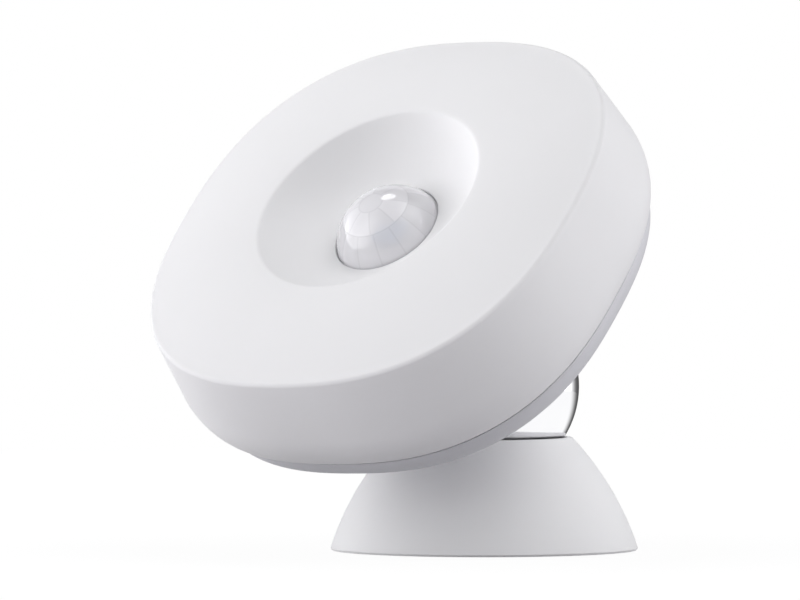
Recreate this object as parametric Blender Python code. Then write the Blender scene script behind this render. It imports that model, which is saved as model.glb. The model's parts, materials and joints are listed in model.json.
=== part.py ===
"""Motion sensor: a tilting head on a steel ball in a small dome-shaped foot.

Metres, +Z up, origin at the centre of the foot's underside. The head faces -Y and looks up.
Head pieces are drawn in the head's own frame: its origin is the ball's centre, and its +Z
runs out through the lens.
"""
import math

import bmesh
import bpy

MM = 0.001
GAP = 0.3 * MM                      # clearance left between neighbouring pieces

# Foot
FOOT_RADIUS = 18.15 * MM
FOOT_RIM_RADIUS = 10.5 * MM
FOOT_HEIGHT = 13.35 * MM
FOOT_FLANK_BULGE = 0.82 * MM        # how far the flank swells beyond a straight cone
FOOT_WALL = 1.8 * MM
PAD_RADIUS = 15.6 * MM
PAD_THICKNESS = 0.9 * MM
PLATE_RADIUS = 16.0 * MM
PLATE_TOP = 2.6 * MM
FOOT_SCREW_CIRCLE = 11.8 * MM
SEAT_RADIUS = 9.8 * MM
SEAT_BOTTOM = 9.8 * MM
SEAT_TOP = 12.8 * MM

# Ball
BALL_RADIUS = 11.2 * MM
BALL_CENTRE = 19.35 * MM            # height above the surface

# Head: rounded square of revolution-like rings, heights measured from the ball's centre
HEAD_TILT = math.radians(45.0)      # from straight up towards -Y
HEAD_ROLL = math.radians(2.0)
HEAD_HALF_WIDTH = 28.4 * MM
FRONT_HALF_WIDTH = 28.0 * MM       # the wall leans in a little towards the face
FACE_EXPONENT = 2.44                # 2 is a circle, larger is squarer
BACK_EXPONENT = 2.53
RIM_HEIGHT = 31.8 * MM              # edge of the dish
FACE_SAG = 2.1 * MM                 # the face falls by this from dish to edge
FRONT_FILLET = 0.6 * MM
DISH_RADIUS = 14.25 * MM
DISH_DEPTH = 5.1 * MM
PARTING_HEIGHT = 15.07 * MM
PARTING_HALF_WIDTH = 26.6 * MM
PARTING_ROUNDING = 5.3 * MM
HOUSING_WALL = 1.8 * MM
BACK_HEIGHT = 10.3 * MM
BACK_HALF_WIDTH = 20.9 * MM
RECESS_RADIUS = 12.4 * MM           # shallow recess in the flat back, round the ball's socket
RECESS_DEPTH = 0.15 * MM
LIP_HALF_WIDTH = 24.3 * MM          # the cover's lip that snaps inside the housing
LIP_TOP = 17.2 * MM

# Lens and sensor
LENS_RADIUS = 6.3 * MM
LENS_RISE = 4.3 * MM
LENS_WALL = 0.7 * MM
LENS_FLANGE_RADIUS = 8.4 * MM
LENS_HOLE_RADIUS = 6.6 * MM

# Board and battery
BOARD_BACK = 21.2 * MM
BOARD_FRONT = 22.4 * MM
BOARD_HALF_WIDTH = 22.4 * MM
BOARD_SCREW_CIRCLE = 18.6 * MM
CELL_RADIUS = 12.25 * MM
CELL_THICKNESS = 5.0 * MM
CELL_BACK = 15.0 * MM

# Magnet holding the head, and the button
CUP_RADIUS = 5.6 * MM
CUP_TOP = 14.6 * MM
BUTTON_RADIUS = 2.4 * MM
BUTTON_OFFSET = 17.0 * MM

RING_STEPS = 44                     # sides of the large rounded-square rings
ROUND_STEPS = 28                    # sides of medium round pieces
SMALL_STEPS = 12                    # sides of screws and bosses


# ---------------------------------------------------------------- helpers

def clear_scene():
    for item in list(bpy.data.objects):
        bpy.data.objects.remove(item, do_unlink=True)


def make_material(name, color, roughness, metallic=0.0):
    material = bpy.data.materials.new(name)
    material.use_nodes = True
    shader = material.node_tree.nodes["Principled BSDF"]
    shader.inputs["Base Color"].default_value = (*color, 1.0)
    shader.inputs["Roughness"].default_value = roughness
    shader.inputs["Metallic"].default_value = metallic
    return material


def make_object(name, bm, material, parent=None, location=(0, 0, 0), smooth_angle=30.0):
    """Turn a bmesh into a named object with outward normals."""
    bmesh.ops.recalc_face_normals(bm, faces=bm.faces)
    mesh = bpy.data.meshes.new(name)
    bm.to_mesh(mesh)
    bm.free()
    mesh.materials.append(material)
    mesh.shade_smooth()
    mesh.set_sharp_from_angle(angle=math.radians(smooth_angle))
    item = bpy.data.objects.new(name, mesh)
    bpy.context.collection.objects.link(item)
    item.parent = parent
    item.location = location
    return item


def make_empty(name, location=(0, 0, 0), rotation=(0, 0, 0), parent=None):
    empty = bpy.data.objects.new(name, None)
    bpy.context.collection.objects.link(empty)
    empty.parent = parent
    empty.location = location
    empty.rotation_euler = rotation
    return empty


def cut(target, cutter, operation="DIFFERENCE"):
    """Boolean target with cutter, which stays in the file as a hidden guide."""
    cutter.hide_render = True
    cutter.display_type = "WIRE"
    modifier = target.modifiers.new(cutter.name, "BOOLEAN")
    modifier.operation = operation
    modifier.object = cutter


def ring_point(half_width, exponent, angle):
    """Point on a rounded square; exponent 2 gives a circle of radius half_width."""
    c, s = math.cos(angle), math.sin(angle)
    reach = half_width * (abs(c) ** exponent + abs(s) ** exponent) ** (-1.0 / exponent)
    return reach * c, reach * s


def add_ring(bm, half_width, height, exponent, steps):
    ring = []
    for step in range(steps):
        x, y = ring_point(half_width, exponent, 2 * math.pi * step / steps)
        ring.append(bm.verts.new((x, y, height)))
    return ring


def bridge(bm, lower, upper):
    count = len(lower)
    for i in range(count):
        j = (i + 1) % count
        bm.faces.new((lower[i], lower[j], upper[j], upper[i]))


def turned(profile, steps, hollow=False):
    """Solid from rings (half_width, height[, exponent]).

    A hollow profile closes on itself round a central opening; otherwise both ends are capped.
    """
    bm = bmesh.new()
    rings = [add_ring(bm, p[0], p[1], p[2] if len(p) > 2 else 2.0, steps) for p in profile]
    for first, second in zip(rings, rings[1:]):
        bridge(bm, first, second)
    if hollow:
        bridge(bm, rings[-1], rings[0])
    else:
        bm.faces.new(rings[0])
        bm.faces.new(rings[-1])
    return bm


def cylinder(radius, low, high, steps=SMALL_STEPS):
    return turned([(radius, low), (radius, high)], steps)


def box(low, high, bevel=0.0):
    bm = bmesh.new()
    bmesh.ops.create_cube(bm, size=1.0)
    for vert in bm.verts:
        for axis in range(3):
            middle = (low[axis] + high[axis]) / 2
            vert.co[axis] = middle + vert.co[axis] * (high[axis] - low[axis])
    if bevel:
        bmesh.ops.bevel(bm, geom=bm.edges[:], offset=bevel, segments=1, affect="EDGES")
    return bm


def arc(start, end, bulge, count):
    """Points of a circular arc from start to end in (radius, height), swelling by bulge."""
    chord = math.dist(start, end)
    radius = (chord / 2) ** 2 / (2 * bulge) + bulge / 2
    half_angle = math.asin(chord / 2 / radius)
    along = ((end[0] - start[0]) / chord, (end[1] - start[1]) / chord)
    outward = (along[1], -along[0])
    points = []
    for i in range(count + 1):
        a = half_angle * (2 * i / count - 1)
        forward = chord / 2 + radius * math.sin(a)
        swell = radius * math.cos(a) - (radius - bulge)
        points.append((start[0] + along[0] * forward + outward[0] * swell,
                       start[1] + along[1] * forward + outward[1] * swell))
    return points


def sphere_height(radius, distance):
    """Height of a sphere's surface at this distance from its axis."""
    return math.sqrt(radius ** 2 - distance ** 2)


def on_circle(circle, index, count, start=90.0):
    angle = math.radians(start + 360.0 * index / count)
    return circle * math.cos(angle), circle * math.sin(angle)


def make_screw(name, material, place, head, shank, parent=None):
    """Pan-head screw with its shank pointing up; head and shank are (radius, length)."""
    head_radius, head_length = head
    shank_radius, shank_length = shank
    chamfer = 0.25 * head_length
    profile = [(head_radius * 0.8, 0), (head_radius, chamfer), (head_radius, head_length),
               (shank_radius, head_length), (shank_radius, head_length + shank_length * 0.85),
               (shank_radius * 0.3, head_length + shank_length)]
    screw = make_object(name, turned(profile, SMALL_STEPS), material, parent, place)
    width, reach, depth = 0.16 * head_radius, 0.6 * head_radius, 0.5 * head_length
    for tag, size in (("slot_a", (reach, width)), ("slot_b", (width, reach))):
        slot = box((-size[0], -size[1], -0.1 * MM), (size[0], size[1], depth))
        cut(screw, make_object(f"{name}_{tag}", slot, material, parent, place))
    return screw


# ---------------------------------------------------------------- foot

def flank(offset, count):
    """Outer flank of the foot, or a line this far inside it."""
    start = (FOOT_RADIUS - offset, 0.3 * MM)
    end = (FOOT_RIM_RADIUS - offset, FOOT_HEIGHT - 0.1 * MM)
    return arc(start, end, FOOT_FLANK_BULGE, count)


def build_foot(materials):
    underside = 0.05 * MM
    ledge_top = SEAT_BOTTOM - GAP
    ledge_bottom = 8.0 * MM
    well = SEAT_RADIUS + GAP
    inner = [p for p in flank(FOOT_WALL, 5) if p[1] < ledge_bottom - 0.2 * MM]
    profile = [(FOOT_RADIUS - 0.15 * MM, underside)]
    profile += flank(0.0, 7)
    profile += [(FOOT_RIM_RADIUS - 0.15 * MM, FOOT_HEIGHT), (well, FOOT_HEIGHT - 0.1 * MM),
                (well, ledge_top), (6.0 * MM, ledge_top), (6.0 * MM, ledge_bottom),
                (inner[-1][0] - 0.5 * MM, ledge_bottom)]
    profile += list(reversed(inner[1:]))
    profile += [(PLATE_RADIUS + GAP, PLATE_TOP + GAP), (PLATE_RADIUS + GAP, underside)]
    shell = make_object("base_shell", turned(profile, 40, hollow=True), materials["foot_white"])
    boss_low = PLATE_TOP + GAP
    plate_low = PAD_THICKNESS + GAP
    plate = make_object("base_plate", turned([(PLATE_RADIUS, plate_low), (PLATE_RADIUS, PLATE_TOP)],
                                             ROUND_STEPS), materials["steel"])
    for index in range(3):
        x, y = on_circle(FOOT_SCREW_CIRCLE, index, 3)
        boss = make_object(f"foot_boss_{index + 1}", cylinder(2.1 * MM, boss_low, 8.6 * MM),
                           materials["foot_white"], location=(x, y, 0))
        cut(shell, boss, "UNION")
        pilot = make_object(f"foot_pilot_{index + 1}", cylinder(1.15 * MM, boss_low - MM, 7.9 * MM),
                            materials["foot_white"], location=(x, y, 0))
        cut(shell, pilot)
        passage = make_object(f"plate_hole_{index + 1}", cylinder(1.25 * MM, 0, 4 * MM),
                              materials["steel"], location=(x, y, 0))
        sink = make_object(f"plate_sink_{index + 1}", cylinder(2.2 * MM, 0, plate_low + 0.8 * MM),
                           materials["steel"], location=(x, y, 0))
        cut(plate, passage)
        cut(plate, sink)
        make_screw(f"base_screw_{index + 1}", materials["screw"], (x, y, plate_low),
                   (1.9 * MM, 0.5 * MM), (0.85 * MM, 5.2 * MM))
    make_object("base_magnet", turned([(7.3 * MM, PLATE_TOP + GAP), (7.6 * MM, PLATE_TOP + 0.6 * MM),
                                       (7.6 * MM, 7.4 * MM), (7.3 * MM, ledge_bottom - GAP)],
                                      ROUND_STEPS), materials["magnet"])
    make_object("foot_pad", turned([(PAD_RADIUS - 0.2 * MM, 0), (PAD_RADIUS, 0.2 * MM),
                                    (PAD_RADIUS, PAD_THICKNESS)], ROUND_STEPS), materials["pad"])


def build_seat(materials):
    """Ring that cups the ball from below."""
    reach = BALL_RADIUS + GAP
    profile = [(SEAT_RADIUS, SEAT_BOTTOM), (SEAT_RADIUS, SEAT_TOP)]
    steps = 4
    for i in range(steps + 1):
        height = SEAT_TOP + (SEAT_BOTTOM - SEAT_TOP) * i / steps
        profile.append((sphere_height(reach, BALL_CENTRE - height), height))
    make_object("ball_seat", turned(profile, ROUND_STEPS, hollow=True), materials["seat"])


def build_ball(materials, pivot):
    bm = bmesh.new()
    bmesh.ops.create_uvsphere(bm, u_segments=28, v_segments=14, radius=BALL_RADIUS)
    make_object("steel_ball", bm, materials["chrome"], pivot)


# ---------------------------------------------------------------- head shells

def dish_curve(count):
    """Bowl from the lens hole up to the rim: flat at the bottom, steeper outwards."""
    points = []
    for i in range(count + 1):
        share = i / count
        radius = LENS_HOLE_RADIUS + (DISH_RADIUS - LENS_HOLE_RADIUS) * share
        points.append((radius, RIM_HEIGHT - DISH_DEPTH * (1.0 - share ** 1.8)))
    return points


def face_curve(count):
    """Crowned face from the dish rim to the start of the front fillet."""
    edge = FRONT_HALF_WIDTH - FRONT_FILLET
    points = []
    for i in range(1, count + 1):
        share = i / count
        radius = DISH_RADIUS + (edge - DISH_RADIUS) * share
        exponent = 2.0 + (FACE_EXPONENT - 2.0) * share
        points.append((radius, RIM_HEIGHT - FACE_SAG * share ** 2, exponent))
    return points


def outer_wall():
    """Front fillet, side wall and the rounding down to the parting line."""
    edge_height = RIM_HEIGHT - FACE_SAG
    points = []
    for angle in (30, 60, 90):
        a = math.radians(angle)
        points.append((FRONT_HALF_WIDTH - FRONT_FILLET * (1 - math.sin(a)),
                       edge_height - FRONT_FILLET * (1 - math.cos(a)), FACE_EXPONENT))
    drop = HEAD_HALF_WIDTH - PARTING_HALF_WIDTH
    for angle in (0, 25, 50, 75):
        a = math.radians(angle)
        points.append((HEAD_HALF_WIDTH - drop * (1 - math.cos(a)) / (1 - math.cos(math.radians(75))),
                       PARTING_HEIGHT + PARTING_ROUNDING
                       - PARTING_ROUNDING * math.sin(a) / math.sin(math.radians(75)),
                       BACK_EXPONENT))
    return points


def build_housing(materials, head):
    inner_wide = HEAD_HALF_WIDTH - HOUSING_WALL
    inner_narrow = LIP_HALF_WIDTH + GAP
    ceiling = RIM_HEIGHT - FACE_SAG - FRONT_FILLET - 0.4 * MM
    dish_under = RIM_HEIGHT - DISH_DEPTH - 1.4 * MM
    profile = dish_curve(6) + face_curve(3) + outer_wall()
    profile += [(inner_narrow, PARTING_HEIGHT, BACK_EXPONENT),
                (inner_narrow, LIP_TOP + 0.4 * MM, BACK_EXPONENT),
                (inner_wide, LIP_TOP + 2.4 * MM, BACK_EXPONENT),
                (inner_wide, ceiling - 1.0 * MM, FACE_EXPONENT),
                (inner_wide - 1.0 * MM, ceiling, FACE_EXPONENT),
                (DISH_RADIUS + 2.4 * MM, ceiling + 1.2 * MM),
                (DISH_RADIUS + 0.4 * MM, ceiling - 0.4 * MM),
                (LENS_FLANGE_RADIUS + 0.8 * MM, dish_under),
                (LENS_HOLE_RADIUS, dish_under)]
    housing = make_object("front_housing", turned(profile, RING_STEPS, hollow=True),
                          materials["shell_white"], head)
    for index in range(3):
        x, y = on_circle(BOARD_SCREW_CIRCLE, index, 3)
        boss = make_object(f"board_boss_{index + 1}",
                           cylinder(2.0 * MM, BOARD_FRONT + GAP, ceiling + 1.8 * MM),
                           materials["shell_white"], head, (x, y, 0))
        pilot = make_object(f"board_pilot_{index + 1}",
                            cylinder(1.15 * MM, BOARD_FRONT, ceiling - 0.6 * MM),
                            materials["shell_white"], head, (x, y, 0))
        cut(housing, boss, "UNION")
        cut(housing, pilot)


def build_cover(materials, head):
    top = PARTING_HEIGHT - GAP
    floor = BACK_HEIGHT + 1.6 * MM
    hole = CUP_RADIUS + GAP
    profile = [(LIP_HALF_WIDTH, top, BACK_EXPONENT), (PARTING_HALF_WIDTH, top, BACK_EXPONENT)]
    steps = 5
    for i in range(1, steps + 1):
        a = math.pi / 2 * i / steps
        profile.append((BACK_HALF_WIDTH + (PARTING_HALF_WIDTH - BACK_HALF_WIDTH) * math.cos(a),
                        top + (BACK_HEIGHT - top) * math.sin(a), BACK_EXPONENT))
    recess = BACK_HEIGHT + RECESS_DEPTH
    profile += [(RECESS_RADIUS, BACK_HEIGHT), (RECESS_RADIUS - RECESS_DEPTH, recess),
                (hole + 0.6 * MM, recess), (hole, recess + 0.4 * MM),
                (hole, CUP_TOP), (hole + 1.4 * MM, CUP_TOP), (hole + 1.6 * MM, floor),
                (BACK_HALF_WIDTH - 1.0 * MM, floor, BACK_EXPONENT),
                (LIP_HALF_WIDTH - 1.2 * MM, top - 0.6 * MM, BACK_EXPONENT),
                (LIP_HALF_WIDTH - 1.2 * MM, LIP_TOP, BACK_EXPONENT),
                (LIP_HALF_WIDTH - 0.3 * MM, LIP_TOP, BACK_EXPONENT),
                (LIP_HALF_WIDTH, LIP_TOP - 0.4 * MM, BACK_EXPONENT)]
    cover = make_object("rear_cover", turned(profile, RING_STEPS, hollow=True),
                        materials["cover_white"], head)
    cut(cover, make_object("button_hole",
                           cylinder(BUTTON_RADIUS + GAP, BACK_HEIGHT - MM, floor + MM, 20),
                           materials["cover_white"], head, (0, -BUTTON_OFFSET, 0)))


def build_button(materials, head):
    """Pairing button: a cap in the back with a stem that reaches the switch on the board."""
    face = BACK_HEIGHT + 0.2 * MM
    stem_top = BOARD_BACK - GAP - 2.0 * MM - 0.6 * MM
    profile = [(BUTTON_RADIUS - 0.3 * MM, face), (BUTTON_RADIUS, face + 0.3 * MM),
               (BUTTON_RADIUS, 12.6 * MM), (1.2 * MM, 12.6 * MM), (1.2 * MM, stem_top)]
    make_object("pairing_button", turned(profile, 20), materials["button"], head,
                (0, -BUTTON_OFFSET, 0))
    switch = box((-2.2 * MM, -2.2 * MM, BOARD_BACK - GAP - 1.4 * MM),
                 (2.2 * MM, 2.2 * MM, BOARD_BACK - GAP), 0.2 * MM)
    body = make_object("tact_switch", switch, materials["black_plastic"], head,
                       (0, -BUTTON_OFFSET, 0))
    plunger = make_object("switch_plunger",
                          cylinder(1.1 * MM, BOARD_BACK - GAP - 2.0 * MM, BOARD_BACK - MM),
                          materials["black_plastic"], head, (0, -BUTTON_OFFSET, 0))
    cut(body, plunger, "UNION")


# ---------------------------------------------------------------- head magnet

def build_magnet(materials, head):
    reach = BALL_RADIUS + GAP
    bore = 4.2 * MM
    cup = [(bore, sphere_height(reach, bore))]
    cup += [(r * MM, sphere_height(reach, r * MM)) for r in (4.7, 5.15)]
    cup += [(CUP_RADIUS, sphere_height(reach, CUP_RADIUS)), (CUP_RADIUS, CUP_TOP - 0.3 * MM),
            (CUP_RADIUS - 0.3 * MM, CUP_TOP), (1.0 * MM, CUP_TOP), (1.0 * MM, CUP_TOP - 1.0 * MM),
            (bore, CUP_TOP - 1.0 * MM)]
    make_object("pole_cup", turned(cup, ROUND_STEPS, hollow=True), materials["steel"], head)
    low, high = 11.6 * MM, CUP_TOP - 1.0 * MM - GAP
    magnet = [(3.7 * MM, low), (3.9 * MM, low + 0.2 * MM), (3.9 * MM, high - 0.2 * MM),
              (3.7 * MM, high)]
    make_object("head_magnet", turned(magnet, ROUND_STEPS), materials["magnet"], head)


# ---------------------------------------------------------------- lens, sensor, electronics

def build_lens(materials, head):
    """Thin dome on a short collar with a flange that the retainer clamps."""
    base = RIM_HEIGHT - DISH_DEPTH
    curve = (LENS_RADIUS ** 2 + LENS_RISE ** 2) / (2 * LENS_RISE)
    flange_top = base - 1.4 * MM - GAP
    flange_low = flange_top - 0.7 * MM
    inner_radius = LENS_RADIUS - LENS_WALL

    def dome(radius_limit, offset, shares):
        return [(radius_limit * s, base + LENS_RISE - curve - offset
                 + sphere_height(curve, radius_limit * s)) for s in shares]

    outside = dome(LENS_RADIUS, 0.0, (0.12, 0.4, 0.65, 0.85, 1.0))
    inside = dome(inner_radius, LENS_WALL, (0.95, 0.7, 0.4, 0.12))
    profile = outside + [(LENS_RADIUS, flange_top), (LENS_FLANGE_RADIUS, flange_top),
                         (LENS_FLANGE_RADIUS, flange_low), (inner_radius, flange_low)] + inside
    make_object("fresnel_lens", turned(profile, ROUND_STEPS), materials["lens"], head)
    ring_top = flange_low - GAP
    ring = [(6.0 * MM, ring_top), (9.6 * MM, ring_top), (9.6 * MM, ring_top - 0.9 * MM),
            (6.6 * MM, ring_top - 0.9 * MM)]
    make_object("lens_retainer", turned(ring, ROUND_STEPS, hollow=True),
                materials["inner_plastic"], head)


def build_sensor(materials, head):
    low = BOARD_FRONT + GAP
    top = low + 3.4 * MM
    can = [(4.6 * MM, low), (4.6 * MM, low + 0.4 * MM), (4.15 * MM, low + 0.5 * MM),
           (4.15 * MM, top - 0.3 * MM), (3.85 * MM, top)]
    sensor = make_object("pir_sensor", turned(can, ROUND_STEPS), materials["steel"], head)
    recess = box((-2.3 * MM, -1.8 * MM, top - 0.6 * MM), (2.3 * MM, 1.8 * MM, top + MM))
    cut(sensor, make_object("window_recess", recess, materials["steel"], head))
    window = box((-2.0 * MM, -1.5 * MM, top - 0.3 * MM), (2.0 * MM, 1.5 * MM, top + 0.1 * MM))
    make_object("pir_window", window, materials["window"], head)


def build_board(materials, head):
    board = make_object("main_board",
                        turned([(BOARD_HALF_WIDTH, BOARD_BACK, BACK_EXPONENT),
                                (BOARD_HALF_WIDTH, BOARD_FRONT, BACK_EXPONENT)], RING_STEPS),
                        materials["board"], head)
    head_length = 0.9 * MM
    for index in range(3):
        x, y = on_circle(BOARD_SCREW_CIRCLE, index, 3)
        hole = make_object(f"board_hole_{index + 1}",
                           cylinder(1.2 * MM, BOARD_BACK - MM, BOARD_FRONT + MM),
                           materials["board"], head, (x, y, 0))
        cut(board, hole)
        make_screw(f"board_screw_{index + 1}", materials["screw"],
                   (x, y, BOARD_BACK - GAP - head_length), (1.9 * MM, head_length),
                   (0.8 * MM, 4.4 * MM), head)
    front = BOARD_FRONT + GAP
    radio = box((-19.0 * MM, -4.0 * MM, front), (-10.5 * MM, 6.0 * MM, front + 2.2 * MM), 0.3 * MM)
    make_object("radio_module", radio, materials["steel"], head)
    make_object("status_led", box((5.1 * MM, -0.4 * MM, front), (6.1 * MM, 0.4 * MM, front + 0.6 * MM)),
                materials["led"], head)


def build_battery(materials, head):
    """Tray on the board's back, the cell in it, and the two contacts."""
    floor_low, floor_high = CELL_BACK + CELL_THICKNESS + GAP, BOARD_BACK - GAP
    bore = CELL_RADIUS + GAP
    wall = bore + 1.4 * MM
    tray = make_object("battery_tray",
                       turned([(5.2 * MM, floor_low), (5.2 * MM, floor_high), (wall, floor_high),
                               (wall, CELL_BACK + 0.6 * MM), (bore, CELL_BACK + 0.6 * MM),
                               (bore, floor_low)], ROUND_STEPS, hollow=True),
                       materials["black_plastic"], head)
    notch = box((-4.0 * MM, bore - 2.0 * MM, CELL_BACK - MM), (4.0 * MM, wall + MM, floor_high + MM))
    cut(tray, make_object("clip_notch", notch, materials["black_plastic"], head))
    chamfer = 0.4 * MM
    cell = [(CELL_RADIUS - 1.2 * MM, CELL_BACK + CELL_THICKNESS),
            (CELL_RADIUS - 1.5 * MM, CELL_BACK + CELL_THICKNESS - chamfer),
            (CELL_RADIUS - chamfer, CELL_BACK + CELL_THICKNESS - chamfer),
            (CELL_RADIUS, CELL_BACK + CELL_THICKNESS - 2 * chamfer),
            (CELL_RADIUS, CELL_BACK + chamfer), (CELL_RADIUS - chamfer, CELL_BACK)]
    make_object("coin_cell", turned(cell, ROUND_STEPS), materials["cell"], head)
    clip = box((-3.0 * MM, CELL_RADIUS + 0.35 * MM, CELL_BACK + MM),
               (3.0 * MM, CELL_RADIUS + 0.75 * MM, floor_high))
    make_object("battery_positive_clip", clip, materials["contact"], head)
    contact = [(1.2 * MM, floor_low), (4.6 * MM, floor_low + 0.25 * MM),
               (4.6 * MM, floor_high), (1.2 * MM, floor_low + 0.35 * MM)]
    make_object("battery_negative_contact", turned(contact, 24, hollow=True),
                materials["contact"], head)


# ---------------------------------------------------------------- everything

def build_materials():
    white = (0.86, 0.86, 0.87)
    return {
        "shell_white": make_material("shell_white", white, 0.45),
        "cover_white": make_material("cover_white", (0.80, 0.81, 0.83), 0.5),
        "foot_white": make_material("foot_white", white, 0.45),
        "button": make_material("button_white", (0.78, 0.79, 0.81), 0.45),
        "lens": make_material("lens_milk", (0.88, 0.89, 0.92), 0.2),
        "inner_plastic": make_material("inner_plastic", (0.75, 0.75, 0.76), 0.5),
        "black_plastic": make_material("black_plastic", (0.03, 0.03, 0.03), 0.5),
        "chrome": make_material("chrome", (0.9, 0.9, 0.92), 0.03, 1.0),
        "steel": make_material("steel", (0.6, 0.6, 0.62), 0.3, 1.0),
        "screw": make_material("screw_steel", (0.5, 0.5, 0.52), 0.3, 1.0),
        "cell": make_material("cell_steel", (0.72, 0.72, 0.73), 0.22, 1.0),
        "contact": make_material("contact_metal", (0.7, 0.66, 0.55), 0.3, 1.0),
        "magnet": make_material("magnet_nickel", (0.55, 0.55, 0.57), 0.25, 1.0),
        "seat": make_material("seat_rubber", (0.45, 0.45, 0.46), 0.6),
        "pad": make_material("pad_rubber", (0.16, 0.16, 0.17), 0.8),
        "board": make_material("board_green", (0.03, 0.2, 0.09), 0.5),
        "window": make_material("window_silicon", (0.06, 0.07, 0.10), 0.15),
        "led": make_material("led_resin", (0.9, 0.9, 0.75), 0.3),
    }


def main():
    clear_scene()
    materials = build_materials()
    tilt = make_empty("tilt_pivot", (0, 0, BALL_CENTRE), (HEAD_TILT, 0, 0))
    head = make_empty("roll_axis", rotation=(0, 0, HEAD_ROLL), parent=tilt)
    build_foot(materials)
    build_seat(materials)
    build_ball(materials, tilt)
    build_magnet(materials, head)
    build_cover(materials, head)
    build_button(materials, head)
    build_housing(materials, head)
    build_lens(materials, head)
    build_sensor(materials, head)
    build_board(materials, head)
    build_battery(materials, head)


main()
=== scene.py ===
"""Looks for the motion sensor: satin white shells, a milky faceted lens and a polished ball.

Pieces are drawn in millimetres, in the foot's frame or in the head's own frame, whose origin is
the ball's centre and whose +Z runs out through the lens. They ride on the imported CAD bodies.
"""
import json
import math
import random

import bmesh
import bpy
from mathutils import Matrix, Vector


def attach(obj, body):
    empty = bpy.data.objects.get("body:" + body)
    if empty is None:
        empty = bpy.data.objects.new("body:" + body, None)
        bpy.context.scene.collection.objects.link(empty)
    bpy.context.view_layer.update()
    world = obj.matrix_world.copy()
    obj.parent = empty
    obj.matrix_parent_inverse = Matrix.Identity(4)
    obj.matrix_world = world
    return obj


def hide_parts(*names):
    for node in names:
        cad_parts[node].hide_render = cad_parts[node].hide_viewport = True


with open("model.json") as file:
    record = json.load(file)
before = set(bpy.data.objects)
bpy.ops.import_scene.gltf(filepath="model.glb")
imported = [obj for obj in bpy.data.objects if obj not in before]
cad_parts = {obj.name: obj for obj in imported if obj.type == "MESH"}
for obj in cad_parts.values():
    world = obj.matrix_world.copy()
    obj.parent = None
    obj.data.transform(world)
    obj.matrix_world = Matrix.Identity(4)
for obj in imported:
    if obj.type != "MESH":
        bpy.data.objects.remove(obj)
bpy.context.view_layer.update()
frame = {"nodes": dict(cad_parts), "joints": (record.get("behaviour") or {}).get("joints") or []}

MM = 0.001
JOINTS = {joint["name"]: joint for joint in frame["joints"]}
PIVOT = Vector(JOINTS["head_tilt"]["pos_m"])
OUTWARD = Vector(JOINTS["head_lift"]["axis"]).normalized()


def centre_of(node):
    """Mean corner of a CAD node, in metres."""
    corners = [vertex.co for vertex in frame["nodes"][node].data.vertices]
    return sum(corners, Vector()) / len(corners)


def head_frame():
    """Places the head's millimetres in the row frame; the battery's clip marks its +Y."""
    towards_clip = centre_of("battery_positive_clip") - PIVOT
    up = (towards_clip - towards_clip.dot(OUTWARD) * OUTWARD).normalized()
    side = up.cross(OUTWARD)
    turn = Matrix((side, up, OUTWARD)).transposed().to_4x4()
    return Matrix.Translation(PIVOT) @ turn @ Matrix.Scale(MM, 4)


HEAD = head_frame()
FOOT = Matrix.Scale(MM, 4)

# Sizes in millimetres, as in the CAD part where nothing else is noted
BALL_RADIUS = 11.2
BALL_CENTRE = PIVOT.z / MM
FOOT_RADIUS = 18.15
FOOT_RIM_RADIUS = 10.5
FOOT_HEIGHT = 13.35
FOOT_BULGE = 0.82
WELL_RADIUS = 10.1
WELL_FLOOR = 9.5
MOUTH_RADIUS = 9.75  # lip at the top of the well, only here: the CAD has none
SEAT_RADIUS = 9.8
SEAT_BOTTOM = 9.8
SEAT_TOP = 12.8
PLATE_RADIUS = 16.0
PLATE_BOTTOM = 1.2
PLATE_TOP = 2.6
FOOT_MAGNET_RADIUS = 7.6
PAD_RADIUS = 15.6
PAD_TOP = 0.9
FOOT_SCREW_CIRCLE = 11.8
GAP = 0.3  # between pieces that don't touch

# Gaps that are narrower than the CAD's, which are all 0.3
PARTING_GAP = 0.16
BUTTON_GAP = 0.18
SEAT_GAP = 0.2
LIP_GAP = 0.2
CUP_GAP = 0.25

HALF_WIDTH = 28.4
FRONT_HALF_WIDTH = 28.0  # the wall leans in a little towards the face
FACE_EXPONENT = 2.44  # 2 is a circle, larger is squarer
BACK_EXPONENT = 2.53
RIM_HEIGHT = 31.8
FACE_SAG = 2.1
FRONT_FILLET = 0.6
DISH_RADIUS = 14.25
DISH_DEPTH = 5.1
PARTING = 15.07
PARTING_HALF_WIDTH = 26.6
PARTING_ROUNDING = 5.3
BACK = 10.3
BACK_HALF_WIDTH = 20.9
RECESS_RADIUS = 12.4
RECESS_DEPTH = 0.15
LIP_HALF_WIDTH = 24.3
LIP_TOP = 17.2

LENS_RADIUS = 6.42  # the dome is 0.12 wider and 0.1 taller than the CAD's
LENS_SHOULDER = 6.55  # only here: nearly fills the gap to the housing
LENS_RISE = 4.4
LENS_WALL = 0.7
LENS_HOLE_RADIUS = 6.6
LENS_COLLAR_RADIUS = 8.4
LENS_COLLAR_HEIGHT = 0.7
LENS_BASE = RIM_HEIGHT - DISH_DEPTH
LENS_TOP = LENS_BASE + LENS_RISE
LENS_COLLAR_TOP = LENS_BASE - 1.7
LENS_CURVE = (LENS_RADIUS ** 2 + LENS_RISE ** 2) / (2 * LENS_RISE)
LENS_STEPS = 144
DOME_RINGS = 40

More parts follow.
